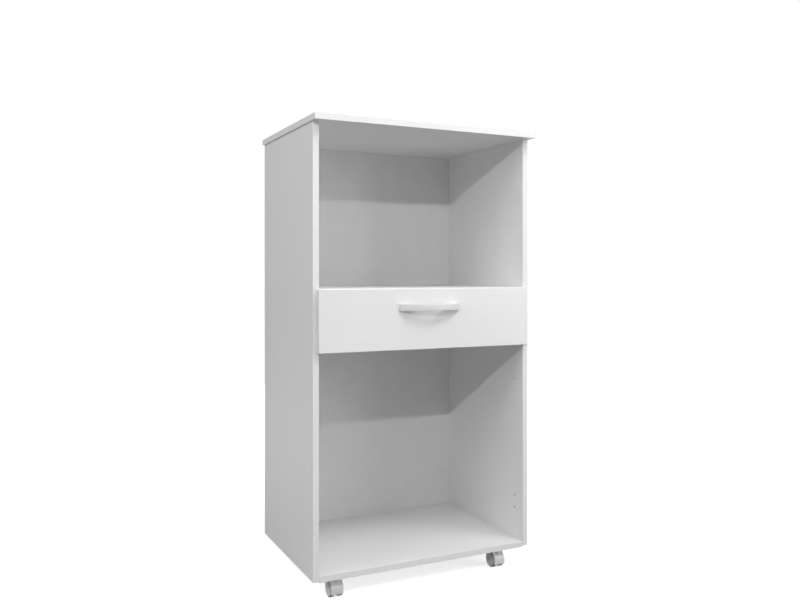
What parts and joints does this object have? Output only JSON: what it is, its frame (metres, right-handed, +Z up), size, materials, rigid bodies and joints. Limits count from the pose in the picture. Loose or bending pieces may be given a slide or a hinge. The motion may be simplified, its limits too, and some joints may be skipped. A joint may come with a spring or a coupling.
{
  "type": "rolling microwave rack with drawer",
  "caption": "White rolling microwave rack: tall open cabinet with a wide top, an upper microwave bay, a drawer on roller slides, an open lower bay and twin-wheel castors.",
  "frame": {"origin": "bottom centre of the bounding box: on the floor under the middle of the width, and half way between the drawer handle's front and the back panel", "axes": "+X to the rack's right as seen from the front, +Y from the drawer front to the back, +Z up"},
  "size_m": [0.6, 0.4328, 1.129],
  "materials": {
    "white_board": "white melamine-coated chipboard with a white edge band, satin",
    "drawer_board": "white foil-wrapped board, satin",
    "drawer_box_board": "white paper-coated chipboard, matt",
    "back_board": "hardboard, white lacquered inside, satin",
    "zinc_steel": "zinc-plated steel, bright",
    "cam_metal": "die-cast zinc alloy, dull",
    "white_steel": "white powder coat",
    "white_plastic": "moulded white plastic, slight gloss",
    "wheel_plastic": "moulded light plastic wheel with a dark grey tread ring",
    "roller_plastic": "white nylon, satin",
    "handle_plastic": "light grey-white plastic, satin",
    "beech": "bare beech with fine flutes",
    "clear_rubber": "clear soft pad"
  },
  "bodies": {
    "cabinet": {"top_board": "white_board", "left_side": "white_board", "right_side": "white_board", "bottom_board": "white_board", "microwave_shelf": "white_board", "back_panel": "back_board", "back_nails": "zinc_steel", "cam_locks": "cam_metal", "cam_bolts": "zinc_steel", "cam_caps": "white_plastic", "dowels": "beech", "left_cabinet_rail": "white_steel", "right_cabinet_rail": "white_steel", "cabinet_rail_screws": "zinc_steel", "cabinet_roller_pins": "zinc_steel", "castor_screws": "zinc_steel", "front_left_castor_plate": "zinc_steel", "front_left_castor_pin": "zinc_steel", "front_right_castor_plate": "zinc_steel", "front_right_castor_pin": "zinc_steel", "rear_left_castor_plate": "zinc_steel", "rear_left_castor_pin": "zinc_steel", "rear_right_castor_plate": "zinc_steel", "rear_right_castor_pin": "zinc_steel"},
    "drawer": {"drawer_front": "drawer_board", "drawer_left_side": "drawer_box_board", "drawer_right_side": "drawer_box_board", "drawer_back": "drawer_box_board", "drawer_bottom": "back_board", "drawer_cam_locks": "cam_metal", "drawer_cam_bolts": "zinc_steel", "drawer_back_screws": "zinc_steel", "drawer_bumpers": "clear_rubber", "drawer_handle": "handle_plastic", "handle_screws": "zinc_steel", "left_drawer_rail": "white_steel", "right_drawer_rail": "white_steel", "drawer_rail_screws": "zinc_steel", "drawer_roller_pins": "zinc_steel"},
    "left_front_roller": {"left_front_roller": "roller_plastic"},
    "left_rear_roller": {"left_rear_roller": "roller_plastic"},
    "right_front_roller": {"right_front_roller": "roller_plastic"},
    "right_rear_roller": {"right_rear_roller": "roller_plastic"},
    "front_left_castor": {"front_left_castor_housing": "white_plastic", "front_left_castor_axle": "zinc_steel"},
    "front_left_castor_outer_wheel": {"front_left_castor_outer_wheel": "wheel_plastic"},
    "front_left_castor_inner_wheel": {"front_left_castor_inner_wheel": "wheel_plastic"},
    "front_right_castor": {"front_right_castor_housing": "white_plastic", "front_right_castor_axle": "zinc_steel"},
    "front_right_castor_outer_wheel": {"front_right_castor_outer_wheel": "wheel_plastic"},
    "front_right_castor_inner_wheel": {"front_right_castor_inner_wheel": "wheel_plastic"},
    "rear_left_castor": {"rear_left_castor_housing": "white_plastic", "rear_left_castor_axle": "zinc_steel"},
    "rear_left_castor_outer_wheel": {"rear_left_castor_outer_wheel": "wheel_plastic"},
    "rear_left_castor_inner_wheel": {"rear_left_castor_inner_wheel": "wheel_plastic"},
    "rear_right_castor": {"rear_right_castor_housing": "white_plastic", "rear_right_castor_axle": "zinc_steel"},
    "rear_right_castor_outer_wheel": {"rear_right_castor_outer_wheel": "wheel_plastic"},
    "rear_right_castor_inner_wheel": {"rear_right_castor_inner_wheel": "wheel_plastic"}
  },
  "joints": [
    {"name": "drawer_slide", "type": "slide", "parent": "cabinet", "child": "drawer", "axis": [0, -1, 0], "range_m": [0, 0.26]},
    {"name": "left_front_roller_turn", "type": "hinge", "parent": "cabinet", "child": "left_front_roller", "pos_m": [-0.2739, -0.1606, 0.607], "axis": [1, 0, 0], "range_deg": [0, 1760]},
    {"name": "left_rear_roller_turn", "type": "hinge", "parent": "drawer", "child": "left_rear_roller", "pos_m": [-0.2739, 0.1606, 0.60675], "axis": [1, 0, 0], "range_deg": [0, 1760]},
    {"name": "right_front_roller_turn", "type": "hinge", "parent": "cabinet", "child": "right_front_roller", "pos_m": [0.2739, -0.1606, 0.607], "axis": [1, 0, 0], "range_deg": [0, 1760]},
    {"name": "right_rear_roller_turn", "type": "hinge", "parent": "drawer", "child": "right_rear_roller", "pos_m": [0.2739, 0.1606, 0.60675], "axis": [1, 0, 0], "range_deg": [0, 1760]},
    {"name": "front_left_swivel", "type": "hinge", "parent": "cabinet", "child": "front_left_castor", "pos_m": [-0.225, -0.1386, 0.045], "axis": [0, 0, 1], "continuous": true},
    {"name": "front_left_outer_wheel_turn", "type": "hinge", "parent": "front_left_castor", "child": "front_left_castor_outer_wheel", "pos_m": [-0.236, -0.1286, 0.02], "axis": [1, 0, 0], "continuous": true},
    {"name": "front_left_inner_wheel_turn", "type": "hinge", "parent": "front_left_castor", "child": "front_left_castor_inner_wheel", "pos_m": [-0.214, -0.1286, 0.02], "axis": [1, 0, 0], "continuous": true},
    {"name": "front_right_swivel", "type": "hinge", "parent": "cabinet", "child": "front_right_castor", "pos_m": [0.225, -0.1386, 0.045], "axis": [0, 0, 1], "continuous": true},
    {"name": "front_right_outer_wheel_turn", "type": "hinge", "parent": "front_right_castor", "child": "front_right_castor_outer_wheel", "pos_m": [0.236, -0.1286, 0.02], "axis": [1, 0, 0], "continuous": true},
    {"name": "front_right_inner_wheel_turn", "type": "hinge", "parent": "front_right_castor", "child": "front_right_castor_inner_wheel", "pos_m": [0.214, -0.1286, 0.02], "axis": [1, 0, 0], "continuous": true},
    {"name": "rear_left_swivel", "type": "hinge", "parent": "cabinet", "child": "rear_left_castor", "pos_m": [-0.225, 0.1804, 0.045], "axis": [0, 0, 1], "continuous": true},
    {"name": "rear_left_outer_wheel_turn", "type": "hinge", "parent": "rear_left_castor", "child": "rear_left_castor_outer_wheel", "pos_m": [-0.236, 0.1904, 0.02], "axis": [1, 0, 0], "continuous": true},
    {"name": "rear_left_inner_wheel_turn", "type": "hinge", "parent": "rear_left_castor", "child": "rear_left_castor_inner_wheel", "pos_m": [-0.214, 0.1904, 0.02], "axis": [1, 0, 0], "continuous": true},
    {"name": "rear_right_swivel", "type": "hinge", "parent": "cabinet", "child": "rear_right_castor", "pos_m": [0.225, 0.1804, 0.045], "axis": [0, 0, 1], "continuous": true},
    {"name": "rear_right_outer_wheel_turn", "type": "hinge", "parent": "rear_right_castor", "child": "rear_right_castor_outer_wheel", "pos_m": [0.236, 0.1904, 0.02], "axis": [1, 0, 0], "continuous": true},
    {"name": "rear_right_inner_wheel_turn", "type": "hinge", "parent": "rear_right_castor", "child": "rear_right_castor_inner_wheel", "pos_m": [0.214, 0.1904, 0.02], "axis": [1, 0, 0], "continuous": true}
  ],
  "couplings": [
    {"joint": "left_front_roller_turn", "follows": "drawer_slide", "rad_per_m": 117.65},
    {"joint": "left_rear_roller_turn", "follows": "drawer_slide", "rad_per_m": 117.65},
    {"joint": "right_front_roller_turn", "follows": "drawer_slide", "rad_per_m": 117.65},
    {"joint": "right_rear_roller_turn", "follows": "drawer_slide", "rad_per_m": 117.65}
  ]
}
